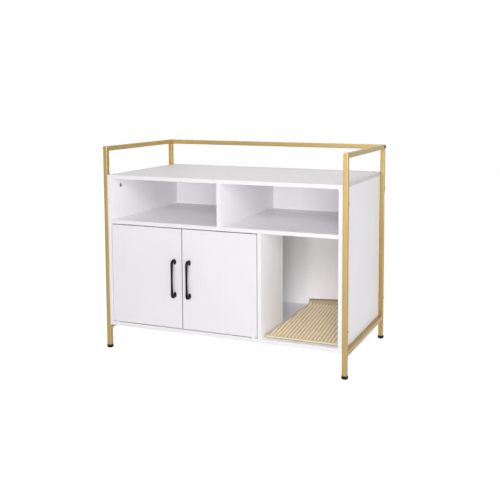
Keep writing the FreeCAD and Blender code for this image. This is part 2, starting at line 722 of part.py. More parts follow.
def make_pivots(side, pivot_x):
    """Pins fixed in the shelf and the bottom panel turn in bushes in the door's edges."""
    door = f"{side}_door"
    pins = []
    bushes = []
    for end, way, board_owner, board_face, door_face in (
            ("upper", "-Z", "middle_shelf", SHELF_UNDER, DOOR_TOP),
            ("lower", "+Z", "bottom_panel", "floor_surface_height", DOOR_BOTTOM)):
        seat = (pivot_x, PIVOT_Y, board_face)
        mouth = (pivot_x, PIVOT_Y, door_face)
        pins.append(cylinder(f"{side}_{end}_pin", way, moved(seat, reverse(way), "pin_seat_depth"),
                             "pin_diameter / 2",
                             "pin_seat_depth + door_gap + bush_length - pin_end_clearance"))
        bore(board_owner, reverse(way), moved(seat, way, "overrun"), "pin_diameter",
             "overrun + pin_seat_depth + bore_end_clearance")
        sleeve = cylinder(f"{side}_{end}_bush_sleeve", way, mouth, "bush_diameter / 2", "bush_length")
        hole = cylinder(f"{side}_{end}_bush_hole", way, moved(mouth, reverse(way), "overrun"),
                        "pin_diameter / 2 + running_clearance", "bush_length + 2 * overrun")
        bushes.append(cut(f"{side}_{end}_bush", sleeve, [hole]))
        bore(door, way, moved(mouth, reverse(way), "overrun"), "bush_diameter",
             "overrun + bush_length + bore_end_clearance")
    group(f"{side}_hinge_pins", pins)
    group(f"{side}_hinge_bushes", bushes)
    disc = cylinder(f"{side}_washer_disc", "+Z", (pivot_x, PIVOT_Y, "floor_surface_height"),
                    "washer_diameter / 2", "door_gap - washer_clearance")
    hole = cylinder(f"{side}_washer_hole", "+Z", (pivot_x, PIVOT_Y, "floor_surface_height - overrun"),
                    "pin_diameter / 2 + running_clearance", "door_gap + 2 * overrun")
    node(cut(f"{side}_washer_cut", disc, [hole]), f"{side}_hinge_washer")


def half_bow():
    """The bow's sections from its upper foot to its middle.

    Each has its turn in degrees, its distance from the door, its height above the bow's middle,
    and its thickness in the bow's plane and across it.
    """
    sections = [
        (0, "0", "handle_spacing / 2", "handle_foot_height", "handle_foot_width"),
        (0, "handle_flare_place", f"{HANDLE_HALF} - handle_flare_height / 2", "handle_flare_height",
         "handle_flare_width"),
        (0, "handle_neck_place", f"{HANDLE_HALF} - handle_neck_height / 2", "handle_neck_height",
         "handle_neck_width"),
    ]
    for turn in HANDLE_BEND_TURNS:
        share = turn / 90
        high = f"(handle_neck_height + (handle_grip_end_diameter - handle_neck_height) * {share})"
        wide = f"(handle_neck_width + (handle_grip_end_diameter - handle_neck_width) * {share})"
        arm = f"(handle_corner_radius - {high} / 2)"
        sections.append((turn, f"handle_reach - handle_corner_radius + {arm} * sin({turn} deg)",
                         f"{HANDLE_HALF} - handle_corner_radius + {arm} * cos({turn} deg)", high, wide))
    for share in HANDLE_GRIP_SHARES:
        thickness = ("(handle_grip_diameter"
                     f" + (handle_grip_end_diameter - handle_grip_diameter) * {share ** 2})")
        sections.append((90, f"handle_reach - {thickness} / 2",
                         f"({HANDLE_HALF} - handle_corner_radius) * {share}", thickness, thickness))
    return sections


def make_handle(side, handle_x):
    """Bow handle: flared feet on the door, rounded shoulders and a grip that narrows to its middle."""
    upper = half_bow()
    lower = [(180 - turn, out, f"-({rise})", high, wide)
             for turn, out, rise, high, wide in reversed(upper[:-1])]
    sections = []
    for number, (turn, out, rise, high, wide) in enumerate(upper + lower, start=1):
        section = add("Part::Ellipse", f"{side}_handle_section_{number}")
        section.setExpression("MajorRadius", bound(f"({high}) / 2"))
        section.setExpression("MinorRadius", bound(f"({wide}) / 2"))
        place(section, (handle_x, f"{FRONT} - ({out})", f"{HANDLE_MIDDLE} + ({rise})"),
              Rotation(Vector(1, 0, 0), turn).multiply(HANDLE_FOOT_TURN))
        sections.append(section)
    bow = add("Part::Loft", f"{side}_handle_bow")
    bow.Sections = sections
    bow.Solid = True
    screws = []
    holes = []
    for end, way in (("lower", "-Z"), ("upper", "+Z")):
        label = f"{side}_{end}_handle"
        head_seat = moved((handle_x, DOOR_REAR, HANDLE_MIDDLE), way, "handle_spacing / 2")
        head = cylinder(f"{label}_screw_head", "+Y", head_seat, "handle_screw_head_diameter / 2",
                        "handle_screw_head_height")
        shank = cylinder(f"{label}_screw_shank", "-Y", head_seat, "handle_screw_diameter / 2",
                         "board_thickness + handle_screw_bite")
        screws.append(fuse(f"{label}_screw", [head, shank]))
        holes.append(cylinder(f"{label}_screw_hole", "-Y", head_seat,
                              "handle_screw_diameter / 2 + fit_clearance",
                              "board_thickness + handle_screw_bite + bore_end_clearance"))
        bore(f"{side}_door", "-Y", moved(head_seat, "+Y", "overrun"), "handle_screw_diameter",
             "board_thickness + 2 * overrun")
    node(cut(f"{side}_handle_drilled", bow, holes), f"{side}_handle")
    group(f"{side}_handle_screws", screws)


def make_strike(side, strike_x):
    """Steel plate on the door's rear face, facing one of the catch's magnets."""
    level = f"{SHELF_UNDER} - magnet_drop"
    seat = (strike_x, DOOR_REAR, level)
    disc = cylinder(f"{side}_strike_disc", "+Y", seat, "strike_diameter / 2", "strike_thickness")
    hole = cylinder(f"{side}_strike_hole", "+Y", moved(seat, "-Y", "overrun"),
                    "strike_screw_diameter / 2 + fit_clearance", "strike_thickness + 2 * overrun")
    node(cut(f"{side}_strike_cut", disc, [hole]), f"{side}_strike_plate")
    tip = moved(seat, "-Y", "strike_screw_bite")
    screw = cylinder(f"{side}_strike_screw_bar", "+Y", tip, "strike_screw_diameter / 2",
                     "strike_screw_bite + strike_thickness")
    node(screw, f"{side}_strike_screw")
    bore(f"{side}_door", "-Y", moved(seat, "+Y", "overrun"), "strike_screw_diameter",
         "overrun + strike_screw_bite + bore_end_clearance")


def make_doors():
    doors = (("left", LEFT_PIVOT_X, f"{DOOR_MEETING} - door_gap / 2 - handle_inset",
              f"{DOOR_MEETING} - magnet_place",
              (f"-{INNER_X} + {HINGE_GAP}", f"{DOOR_MEETING} - door_gap / 2")),
             ("right", RIGHT_PIVOT_X, f"{DOOR_MEETING} + door_gap / 2 + handle_inset",
              f"{DOOR_MEETING} + magnet_place",
              (f"{DOOR_MEETING} + door_gap / 2", f"{DIVIDER_LEFT} - {HINGE_GAP}")))
    for side, pivot_x, handle_x, strike_x, door_x in doors:
        make_pivots(side, pivot_x)
        make_handle(side, handle_x)
        make_strike(side, strike_x)
        board(f"{side}_door", door_x, (FRONT, DOOR_REAR), (DOOR_BOTTOM, DOOR_TOP), on_front_or_rear)


def make_catch():
    """Twin magnetic catch, screwed under the shelf behind the doors' meeting edges."""
    front_y = f"({DOOR_REAR} + strike_thickness + strike_clearance)"
    body = box("catch_blank", (f"{DOOR_MEETING} - catch_width / 2", f"{DOOR_MEETING} + catch_width / 2"),
               (front_y, f"{front_y} + catch_depth"), (f"{SHELF_UNDER} - catch_height", SHELF_UNDER))
    tools = []
    magnets = []
    screws = []
    magnet_z = f"({SHELF_UNDER} - magnet_drop)"
    for side, sign in SIDES:
        middle = f"({DOOR_MEETING} {'+' if sign > 0 else '-'} magnet_place)"
        half = "magnet_width / 2"
        magnets.append(box(f"{side}_magnet", (f"{middle} - {half}", f"{middle} + {half}"),
                           (front_y, f"{front_y} + magnet_depth"),
                           (f"{magnet_z} - magnet_height / 2", f"{magnet_z} + magnet_height / 2")))
        tools.append(box(f"{side}_magnet_pocket",
                         (f"{middle} - {half} - fit_clearance", f"{middle} + {half} + fit_clearance"),
                         (f"{front_y} - overrun", f"{front_y} + magnet_depth + fit_clearance"),
                         (f"{magnet_z} - magnet_height / 2 - fit_clearance",
                          f"{magnet_z} + magnet_height / 2 + fit_clearance")))
        screw_x = f"({DOOR_MEETING} {'+' if sign > 0 else '-'} catch_screw_place)"
        start = (screw_x, f"{front_y} + catch_depth / 2", f"{SHELF_UNDER} - catch_height")
        head = cylinder(f"{side}_catch_screw_head", "+Z", start, "catch_screw_head_diameter / 2",
                        "catch_screw_head_height")
        shank = cylinder(f"{side}_catch_screw_shank", "+Z", start, "catch_screw_diameter / 2",
                         "catch_height + catch_screw_bite")
        screws.append(fuse(f"{side}_catch_screw", [head, shank]))
        tools.append(cylinder(f"{side}_catch_head_recess", "+Z", moved(start, "-Z", "overrun"),
                              "catch_screw_head_diameter / 2 + fit_clearance",
                              "overrun + catch_screw_head_height + fit_clearance"))
        tools.append(cylinder(f"{side}_catch_screw_hole", "+Z", start,
                              "catch_screw_diameter / 2 + fit_clearance", "catch_height + overrun"))
        bore("middle_shelf", "+Z", start, "catch_screw_diameter",
             "catch_height + catch_screw_bite + bore_end_clearance")
    node(cut("catch_cut", body, tools), "catch_housing")
    group("catch_magnets", magnets)
    group("catch_screws", screws)


# Mat


def make_mat():
    """A mat that covers the entry compartment's floor and turns up against the back."""
    width = (f"{DIVIDER_RIGHT} + mat_side_clearance", f"{INNER_X} - mat_side_clearance")
    under = "floor_surface_height + soft_clearance"
    rear = f"({BOARD_REAR} - soft_clearance)"
    outer_radius = "(mat_bend_radius + mat_thickness)"
    bend_y = f"({rear} - {outer_radius})"
    bend_z = f"({under} + {outer_radius})"
    flat = box("mat_flat", width, (f"{FRONT} + mat_front_setback", bend_y),
               (under, f"{under} + mat_thickness"))
    upright = box("mat_upright", width, (f"{rear} - mat_thickness", rear),
                  (bend_z, "floor_surface_height + mat_upturn"))
    bend = []
    for label, radius, extra in (("mat_bend_outer", outer_radius, "0"),
                                 ("mat_bend_inner", "mat_bend_radius", "overrun")):
        sector = add("Part::Cylinder", label)
        sector.setExpression("Radius", bound(radius))
        sector.setExpression("Height", bound(f"({width[1]}) - ({width[0]}) + 2 * {extra}"))
        sector.Angle = 90
        quarter = Rotation(Vector(0, 0, -1), Vector(0, 1, 0), Vector(1, 0, 0), "ZXY")
        place(sector, (f"({width[0]}) - {extra}", bend_y, bend_z), quarter)
        bend.append(sector)
    turned = cut("mat_bend", bend[0], [bend[1]])
    node(fuse("mat_fused", [flat, turned, upright]), "entry_mat")


def check():
    """Every object has built, and every piece is a sound solid."""
    for item in doc.Objects:
        if "Invalid" in item.State or "Error" in item.State:
            raise RuntimeError(f"{item.Label} failed: {item.State}")
    for item in nodes:
        if item.Shape.isNull() or not item.Shape.isValid() or not item.Shape.Solids:
            raise RuntimeError(f"{item.Label} is not a sound solid")


def write():
    os.makedirs("parts", exist_ok=True)
    for item in nodes:
        item.Shape.exportStep(f"parts/{item.Label}.step")
        print(item.Label, len(item.Shape.Solids), round(item.Shape.Volume))


fill_sheet()
make_frame_bolts()
make_back_rail_fixings()
make_flat_pack_joints()
make_divider_screws()
make_back_nails()
make_catch()
make_doors()
make_boards()
make_frames()
make_rail_caps()
make_feet()
make_mat()
doc.recompute()
check()
write()
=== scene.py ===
"""Looks of the cat cabinet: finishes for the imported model, the woven mat, the studio and the camera."""
import json
import math
import bpy
from mathutils import Matrix, Vector


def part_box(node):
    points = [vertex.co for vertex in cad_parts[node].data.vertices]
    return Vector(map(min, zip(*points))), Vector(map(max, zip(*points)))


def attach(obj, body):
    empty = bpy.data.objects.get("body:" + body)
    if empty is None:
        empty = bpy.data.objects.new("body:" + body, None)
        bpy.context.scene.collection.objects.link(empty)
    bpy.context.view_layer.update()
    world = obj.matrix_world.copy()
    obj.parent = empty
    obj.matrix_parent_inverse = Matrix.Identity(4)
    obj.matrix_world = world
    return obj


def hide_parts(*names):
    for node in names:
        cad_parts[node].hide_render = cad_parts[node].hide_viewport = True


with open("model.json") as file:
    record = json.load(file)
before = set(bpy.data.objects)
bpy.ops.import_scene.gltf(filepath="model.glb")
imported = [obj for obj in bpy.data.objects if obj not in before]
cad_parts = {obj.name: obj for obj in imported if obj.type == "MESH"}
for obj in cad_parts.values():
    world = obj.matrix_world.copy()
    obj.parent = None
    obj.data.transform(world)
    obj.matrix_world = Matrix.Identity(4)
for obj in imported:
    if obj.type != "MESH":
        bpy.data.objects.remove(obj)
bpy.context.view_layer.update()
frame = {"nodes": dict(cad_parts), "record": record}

# Linear colours
BOARD_FACE = (0.932, 0.917, 0.940)
# Board edges and door faces are painted shade: whites darker than the boards' other faces, which damps the
# strong front light on them.
BOARD_EDGE_SHADED = (0.675, 0.656, 0.678)
BACK_FACE = (0.922, 0.906, 0.930)
DOOR_FACE_SHADED = (0.66, 0.64, 0.662)
# The doors' edges are painted shade: a darker grey that deepens the gap between the doors.
DOOR_EDGE_GAP_SHADE = (0.48, 0.466, 0.482)
GOLD_LIGHT = (0.43, 0.306, 0.118)
GOLD_DEEP = (0.38, 0.265, 0.097)
PAINT_BLACK = (0.004, 0.004, 0.0045)
PAINT_WORN = (0.009, 0.008, 0.008)
BEECH_DARK = (0.50, 0.35, 0.20)
BEECH_LIGHT = (0.66, 0.50, 0.32)
BEECH_FLECK = (0.36, 0.23, 0.13)
FIBRE_RIDGE = (0.95, 0.77, 0.50)
# The grooves' colour is painted shade in the recesses between the cords.
FIBRE_GROOVE_SHADE = (0.20, 0.15, 0.07)
FIBRE_SHEEN = (1.0, 0.86, 0.62)
BAND_LIGHT = (0.62, 0.52, 0.35)
BAND_DARK = (0.48, 0.39, 0.255)
TAPE_LIGHT = (0.74, 0.67, 0.54)
TAPE_DARK = (0.60, 0.52, 0.40)
STITCH_THREAD = (0.80, 0.74, 0.62)
# The tape along the mat's rear is painted shade: a darker tape, with a dark line at its outer edge where
# the mat meets the back.
REAR_TAPE_SHADE = (0.54, 0.44, 0.285)
REAR_TAPE_SHADOW = (0.225, 0.20, 0.118)
FLOOR_MATT = (0.88, 0.88, 0.88)
FLOOR_SHADE = (0.24, 0.24, 0.24)
WHITE = (1, 1, 1)

# Ranges that hold most of a noise, of a sum of two noises, and all of a wave
NOISE_RANGE = (0.3, 0.7)
TWO_NOISES_RANGE = (0.7, 1.3)
WAVE_RANGE = (-1, 1)

# Finishes: the noise is drawn out along an axis with a small scale
GRAIN_UPRIGHT = (1, 1, 0.06)
GRAIN_LEVEL = (0.06, 1, 1)
SCRATCH_SCALE = (1, 0.08, 1)
BEECH_GRAIN_SCALE = (1, 1, 0.1)
BEECH_FLECK_SCALE = (1, 1, 0.2)
STRAND_SCALE = (1, 0.12, 0.5)

# Finishes: how far tones and roughnesses stray, and the limits and strengths of their details
FACE_SPREAD = 0.015
EDGE_SPREAD = 0.01
MOULDED_SPREAD = 0.07
PLATED_SMOOTHER = 0.08
PLATED_ROUGHER = 0.1
FACE_NORMAL = 0.9
FLECK_LIMIT = 0.62
FLECK_STRENGTH = 0.4
# Over this range of cord height the mat passes from painted groove shade to the crown's pale colour.
GROOVE_TO_CROWN = (0.46, 0.92)
CROWN_LIGHTNESS = 0.92

# Mat's outline, in metres
BEND_RADIUS = 0.016
REAR_SKEW = 0.017
REAR_RISE = 0.0045

# Mat's weave, in metres
BACKING = 0.0034
RIB_HEIGHT = 0.0048
RIB_PITCH = 0.0141
RIB_TURN = math.radians(6)
RIB_START_INSET = 0.004
RIB_FULL_INSET = 0.009
BRAID_LENGTH = 0.013
THREAD_RADIANS_PER_METRE = 2900
WEAVE_COLUMNS = 208
WEAVE_ROWS = 236

# Mat's weave, as shares of the braid's length, of a rib's height and of the bend
BRAID_LEAN = 0.2
BRAID_DIP = 0.16
BAND_HEIGHT = 0.35
BAND_START = 0.35
BAND_FULL = 0.6

# Mat's tape, in metres, with its section as insets from the mat's edge and heights over its underside
TAPE_WIDTH = 0.010
TAPE_LIP = 0.0006
TAPE_SECTION = (
    (TAPE_WIDTH, 0.0068), (TAPE_WIDTH - TAPE_LIP, 0.0082), (0.0070, 0.0088), (0.0035, 0.0086),
    (0.0012, 0.0076), (0.0002, 0.0052), (0.0002, 0.0030), (0.0010, 0.0010), (0.0030, 0.0002),
    (TAPE_WIDTH, 0.0002),
)
TAPE_FOLD_HEIGHT = 0.004
TAPE_CORNER_RADIUS = 0.011
TAPE_LEAST_RADIUS = 0.0005
TAPE_CORNER_STEPS = 6
TAPE_SIDE_STEPS = 150
TAPE_LONGEST_CORNER_STEP = 0.02
TWILL_RADIANS_PER_METRE = 3500
STITCHES_PER_METRE = 210
STITCH_SHARE = 0.62
STITCH_LINE = 0.0022
STITCH_HALF_WIDTH = 0.0006
# The painted shade along the mat's rear: where it starts and is full from the rear edge, and where across
# the tape it darkens to the shadow line.
REAR_SHADE_START_INSET = 0.014
REAR_SHADE_FULL_INSET = 0.011
REAR_SHADOW_ACROSS = (0.0052, 0.0068)

# Studio, in metres
FLOOR_HALF = 9
FLOOR_DROP = 0.0003
FLOOR_FADE = (1.2, 4)
FLOOR_GLOW = (0.88, 1)
WORLD_LIGHT = 0.03
LAMP_AIM = Vector((0, 0, 0.4))

# Camera, in metres, radians and millimetres, with the shift in widths of the sensor
CAMERA_PLACE = (1.28114, -2.79819, 1.00618)
CAMERA_YAW = 0.365694
CAMERA_PITCH = 0.096546
CAMERA_ROLL = 0.0008
CAMERA_FOCAL_LENGTH = 55.7615
CAMERA_SENSOR_WIDTH = 36
CAMERA_SHIFT = (-0.09003, -0.16005)
CAMERA_REACH = 100

# Colour sockets of Blender's Mix node, several of which share a name
MIX_SHARE, MIX_FIRST, MIX_SECOND = 0, 6, 7
MIX_RESULT = 2


class Shader:
    """The node tree of a material or a world, with the part's own coordinates in metres."""

    def __init__(self, owner):
        owner.use_nodes = True
        self.owner = owner
        self.tree = owner.node_tree
        self.tree.nodes.clear()
        self.place = self.add("ShaderNodeTexCoord")

    def add(self, kind, sockets=None, **settings):
        """A new node with its settings, and its sockets linked or set."""
        node = self.tree.nodes.new(kind)
        for name, value in settings.items():
            setattr(node, name, value)
        for socket, value in (sockets or {}).items():
            if isinstance(value, bpy.types.NodeSocket):
                self.tree.links.new(value, node.inputs[socket])
            else:
                node.inputs[socket].default_value = value
        return node

    def noise(self, scale, detail=2.0, axis_scale=(1, 1, 1), turn=0.0):
        """Noise with features of about 1 / scale metres, longer along an axis with a small scale."""
        sockets = {"Vector": self.place.outputs["Object"], "Scale": axis_scale, "Rotation": (0, 0, turn)}
        mapping = self.add("ShaderNodeMapping", sockets)
        sockets = {"Vector": mapping.outputs[0], "Scale": scale, "Detail": detail}
        return self.add("ShaderNodeTexNoise", sockets).outputs[0]

    def cells(self, scale):
        """A random value for each of many small cells."""
        node = self.add("ShaderNodeTexVoronoi", {"Vector": self.place.outputs["Object"], "Scale": scale})
        return self.add("ShaderNodeSeparateColor", {"Color": node.outputs["Color"]}).outputs[0]

    def attribute(self, name):
        return self.add("ShaderNodeAttribute", attribute_name=name).outputs["Fac"]

    def math(self, operation, first, second=0.0):
        return self.add("ShaderNodeMath", {0: first, 1: second}, operation=operation).outputs[0]

    def weighed(self, first, first_share, second, second_share):
        """The sum of two values, each multiplied by its share."""
        first_part = self.math("MULTIPLY", first, first_share)
        return self.math("ADD", first_part, self.math("MULTIPLY", second, second_share))

    def wave(self, value, radians_per_metre):
        return self.math("SINE", self.math("MULTIPLY", value, radians_per_metre))

    def span(self, value, source, target=(0, 1)):
        """A value's source range spread over the target range, and held inside it."""
        low, high = source
        to_low, to_high = target
        sockets = {"Value": value, "From Min": low, "From Max": high, "To Min": to_low, "To Max": to_high}
        return self.add("ShaderNodeMapRange", sockets).outputs[0]

    def blend(self, share, first, second):
        """A colour between two others, each a socket or a tuple."""
        first, second = (c if isinstance(c, bpy.types.NodeSocket) else (*c, 1) for c in (first, second))
        sockets = {MIX_SHARE: share, MIX_FIRST: first, MIX_SECOND: second}
        return self.add("ShaderNodeMix", sockets, data_type="RGBA").outputs[MIX_RESULT]

    def bump(self, height, depth, under=None):
        """Relief of about the given depth in metres, on top of another one if that is given."""
        sockets = {"Height": height, "Distance": depth, "Strength": 1.0}
        if under is not None:
            sockets["Normal"] = under
        return self.add("ShaderNodeBump", sockets).outputs[0]

    def surface(self, sockets):
        """The material, with one principled surface."""
        body = self.add("ShaderNodeBsdfPrincipled", sockets)
        self.add("ShaderNodeOutputMaterial", {"Surface": body.outputs[0]})
        return self.owner


def material_shader(name):
    return Shader(bpy.data.materials.new(name))


def scaled(colour, share):
    return tuple(channel * share for channel in colour)


def around(colour, spread):
    """A slightly darker and a slightly lighter tone of a colour."""
    return scaled(colour, 1 - spread), scaled(colour, 1 + spread)


def smooth(value, low, high):
    """A soft step from 0 at the low value to 1 at the high one."""
    share = min(1, max(0, (value - low) / (high - low)))
    return share * share * (3 - 2 * share)


def round_loop(items):
    """Each item of a closed loop with the one after it."""
    return zip(items, items[1:] + items[:1])


# Finishes


def coated_board(name, thickness_axis, face, edge):
    """Satin white coated board with faint grain along the board, and its edges in their own colour; the
    darker whites given for edges and door faces are painted shade.
    """
    shader = material_shader(name)
    cloud = shader.noise(scale=5)
    grain_scale = GRAIN_LEVEL if thickness_axis == "Z" else GRAIN_UPRIGHT
    grain = shader.noise(scale=160, detail=4, axis_scale=grain_scale)
    peel = shader.noise(scale=700)
    tone = shader.span(shader.weighed(cloud, 0.5, grain, 0.5), NOISE_RANGE)
    face_colour = shader.blend(tone, *around(face, FACE_SPREAD))
    edge_colour = shader.blend(tone, *around(edge, EDGE_SPREAD))
    normal = shader.add("ShaderNodeSeparateXYZ", {"Vector": shader.place.outputs["Normal"]})
    along_thickness = shader.math("ABSOLUTE", normal.outputs[thickness_axis])
    on_face = shader.math("GREATER_THAN", along_thickness, FACE_NORMAL)
    return shader.surface({
        "Base Color": shader.blend(on_face, edge_colour, face_colour),
        "Roughness": shader.span(shader.math("ADD", peel, grain), TWO_NOISES_RANGE, (0.42, 0.54)),
        "Specular IOR Level": 0.3,
        "Normal": shader.bump(grain, depth=0.00002, under=shader.bump(peel, depth=0.000025)),
    })


def gold_paint():
    """Satin metallic gold: fine flake, soft cloudy tone and slight orange peel."""
    shader = material_shader("satin_gold")
    cloud = shader.noise(scale=9, detail=3)
    flake = shader.cells(scale=2600)
    peel = shader.noise(scale=420)
    tone = shader.span(shader.weighed(cloud, 0.75, flake, 0.25), (0.25, 0.75))
    return shader.surface({
        "Base Color": shader.blend(tone, GOLD_DEEP, GOLD_LIGHT),
        "Metallic": 1.0,
        "Roughness": shader.span(shader.math("ADD", peel, flake), (0.5, 1.5), (0.38, 0.48)),
        "Normal": shader.bump(peel, depth=0.000012, under=shader.bump(flake, depth=0.000003)),
        "Coat Weight": 0.2,
        "Coat Roughness": 0.22,
    })


def black_paint():
    """Satin black paint on metal, a little browner where it is worn."""
    shader = material_shader("satin_black")
    peel = shader.noise(scale=900, detail=3)
    wear = shader.noise(scale=60, detail=3)
    return shader.surface({
        "Base Color": shader.blend(shader.span(wear, (0.4, 0.75)), PAINT_BLACK, PAINT_WORN),
        "Roughness": shader.span(shader.math("ADD", peel, wear), TWO_NOISES_RANGE, (0.22, 0.36)),
        "Specular IOR Level": 0.14,
        "Normal": shader.bump(peel, depth=0.00003),
    })


def moulded(name, dark, light, roughness, gloss):
    """Moulded plastic with a fine spark-eroded grain."""
    shader = material_shader(name)
    grain = shader.noise(scale=1600)
    cloud = shader.noise(scale=40)
    limits = (roughness - MOULDED_SPREAD, roughness + MOULDED_SPREAD)
    return shader.surface({
        "Base Color": shader.blend(cloud, dark, light),
        "Roughness": shader.span(grain, NOISE_RANGE, limits),
        "Specular IOR Level": gloss,
        "Normal": shader.bump(grain, depth=0.00005),
    })


def plated(name, dark, light, roughness, cell_scale):
    """Bare or plated metal with a fine crystalline finish."""
    shader = material_shader(name)
    spangle = shader.cells(cell_scale)
    scratch = shader.noise(scale=500, detail=3, axis_scale=SCRATCH_SCALE)
    limits = (roughness - PLATED_SMOOTHER, roughness + PLATED_ROUGHER)
    return shader.surface({
        "Base Color": shader.blend(spangle, dark, light),
        "Metallic": 1.0,
        "Roughness": shader.span(shader.math("ADD", spangle, scratch), (0.4, 1.6), limits),
        "Normal": shader.bump(scratch, depth=0.00002),
    })


def beech():
    """Raw beech with short dark flecks along the grain."""
    shader = material_shader("raw_beech")
    grain = shader.noise(scale=700, detail=4, axis_scale=BEECH_GRAIN_SCALE)
    fleck = shader.math("GREATER_THAN", shader.noise(scale=900, axis_scale=BEECH_FLECK_SCALE), FLECK_LIMIT)
    tone = shader.blend(grain, BEECH_DARK, BEECH_LIGHT)
    return shader.surface({
        "Base Color": shader.blend(shader.math("MULTIPLY", fleck, FLECK_STRENGTH), tone, BEECH_FLECK),
        "Roughness": shader.span(grain, NOISE_RANGE, (0.55, 0.7)),
        "Normal": shader.bump(grain, depth=0.00005),
    })


def woven_fibre():
    """Braided plant fibre: pale ridges, grooves darkened as painted shade, and fine strands, with a plain
    woven band behind.
    """
    shader = material_shader("woven_fibre")
    rib = shader.attribute("rib")
    band = shader.attribute("band")
    strand = shader.noise(scale=500, detail=4, axis_scale=STRAND_SCALE, turn=RIB_TURN)
    cloud = shader.noise(scale=22, detail=3)
    # Painted shade: darker down into the grooves.
    rib_shade = shader.span(rib, GROOVE_TO_CROWN, (0, CROWN_LIGHTNESS))
    strand_lightness = shader.span(strand, NOISE_RANGE, (-0.15, 0.2))
    cord = shader.blend(shader.math("ADD", rib_shade, strand_lightness), FIBRE_GROOVE_SHADE, FIBRE_RIDGE)
    bleached = shader.span(cloud, (0.35, 0.7), (0, 0.3))
    cord = shader.blend(bleached, cord, scaled(FIBRE_RIDGE, 0.9))
    warp = shader.wave(shader.attribute("across"), THREAD_RADIANS_PER_METRE)
    weft = shader.wave(shader.attribute("along"), THREAD_RADIANS_PER_METRE)
    weave = shader.math("MULTIPLY", warp, weft)
    cloth = shader.blend(shader.span(weave, WAVE_RANGE), BAND_DARK, BAND_LIGHT)
    strand_share = shader.math("SUBTRACT", 1.0, band)
    weave_share = shader.math("MULTIPLY", band, 0.4)
    relief = shader.weighed(strand, strand_share, weave, weave_share)
    return shader.surface({
        "Base Color": shader.blend(band, cord, cloth),
        "Roughness": shader.span(strand, NOISE_RANGE, (0.72, 0.9)),
        "Normal": shader.bump(relief, depth=0.0005),
        "Sheen Weight": 0.9,
        "Sheen Roughness": 0.6,
        "Sheen Tint": (*FIBRE_SHEEN, 1),
    })


def cotton_tape():
    """Pale twill tape with a row of stitches near its inner edge, and painted shade along the mat's rear: a
    darker tape there, darkest at its outer edge.
    """
    shader = material_shader("cotton_tape")
    along = shader.attribute("along")
    across = shader.attribute("across")
    twill = shader.wave(shader.math("ADD", along, across), TWILL_RADIANS_PER_METRE)
    fuzz = shader.noise(scale=1100, detail=3)
    twill_tone = shader.span(twill, WAVE_RANGE, (0, 0.5))
    fuzz_tone = shader.span(fuzz, NOISE_RANGE, (0, 0.5))
    tape = shader.blend(shader.math("ADD", twill_tone, fuzz_tone), TAPE_DARK, TAPE_LIGHT)
    step = shader.math("FRACT", shader.math("MULTIPLY", along, STITCHES_PER_METRE))
    off_line = shader.math("ABSOLUTE", shader.math("SUBTRACT", across, STITCH_LINE))
    on_line = shader.math("LESS_THAN", off_line, STITCH_HALF_WIDTH)
    stitch = shader.math("MULTIPLY", on_line, shader.math("LESS_THAN", step, STITCH_SHARE))
    sewn = shader.blend(stitch, tape, STITCH_THREAD)
    # Painted shade along the mat's rear, darkest toward the tape's outer edge.
    rear_shade = shader.blend(shader.span(across, REAR_SHADOW_ACROSS), REAR_TAPE_SHADE, REAR_TAPE_SHADOW)
    return shader.surface({
        "Base Color": shader.blend(shader.attribute("rear"), sewn, rear_shade),
        "Roughness": shader.span(fuzz, NOISE_RANGE, (0.75, 0.92)),
        "Normal": shader.bump(shader.weighed(twill, 0.3, stitch, 1.5), depth=0.0003),
        "Sheen Weight": 0.15,
        "Sheen Roughness": 0.5,
    })


def make_finishes():
    """The finish of each material slot but white_board, whose boards lie along different axes."""
    finishes = {
        "gold_tube": gold_paint(),
        "black_handle": black_paint(),
        "black_plastic": moulded("black_plastic", dark=(0.005, 0.005, 0.005), light=(0.010, 0.010, 0.010),
                                 roughness=0.36, gloss=0.12),
        "white_plastic": moulded("white_plastic", dark=(0.74, 0.74, 0.73), light=(0.80, 0.80, 0.79),
                                 roughness=0.4, gloss=0.25),
        "black_bolt": plated("black_oxide", dark=(0.030, 0.028, 0.026), light=(0.055, 0.052, 0.05),
                             roughness=0.42, cell_scale=1500),
        "zinc_steel": plated("zinc", dark=(0.50, 0.51, 0.53), light=(0.66, 0.67, 0.69),
                             roughness=0.32, cell_scale=900),
        "dark_zinc": plated("die_cast", dark=(0.22, 0.22, 0.23), light=(0.34, 0.34, 0.35),
                            roughness=0.42, cell_scale=1200),
        "brass_insert": plated("brass", dark=(0.58, 0.42, 0.16), light=(0.70, 0.53, 0.24),
                               roughness=0.3, cell_scale=900),
        "magnet": plated("nickel", dark=(0.32, 0.31, 0.31), light=(0.42, 0.41, 0.40),
                         roughness=0.28, cell_scale=1100),
        # Its edges get painted shade: a white darker than its faces.
        "white_back_board": coated_board("thin_board", "Y", BACK_FACE, BOARD_EDGE_SHADED),
        "beech": beech(),
        "woven_fibre": woven_fibre(),
    }
    finishes["gold_bolt"] = finishes["gold_tube"]
    return finishes


def dress(finishes):
    """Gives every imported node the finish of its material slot, and each board that of its thin axis."""
    # The edges, and the doors' faces, get painted shade: whites darker than the other board faces.
    boards = {
        "X": coated_board("upright_board", "X", BOARD_FACE, BOARD_EDGE_SHADED),
        # The doors' edges are painted shade for the gap between the doors.
        "Y": coated_board("door_board", "Y", DOOR_FACE_SHADED, DOOR_EDGE_GAP_SHADE),
        "Z": coated_board("flat_board", "Z", BOARD_FACE, BOARD_EDGE_SHADED),
    }
    for part in frame["record"]["subparts"]:
        node = frame["nodes"][part["node"]]
        if part["material_slot"] == "white_board":
            low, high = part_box(part["node"])
            size = high - low
            finish = boards["XYZ"[list(size).index(min(size))]]
        else:
            finish = finishes[part["material_slot"]]
        if not node.material_slots:
            node.data.materials.append(finish)
        for slot in node.material_slots:
            slot.material = finish


# Mat


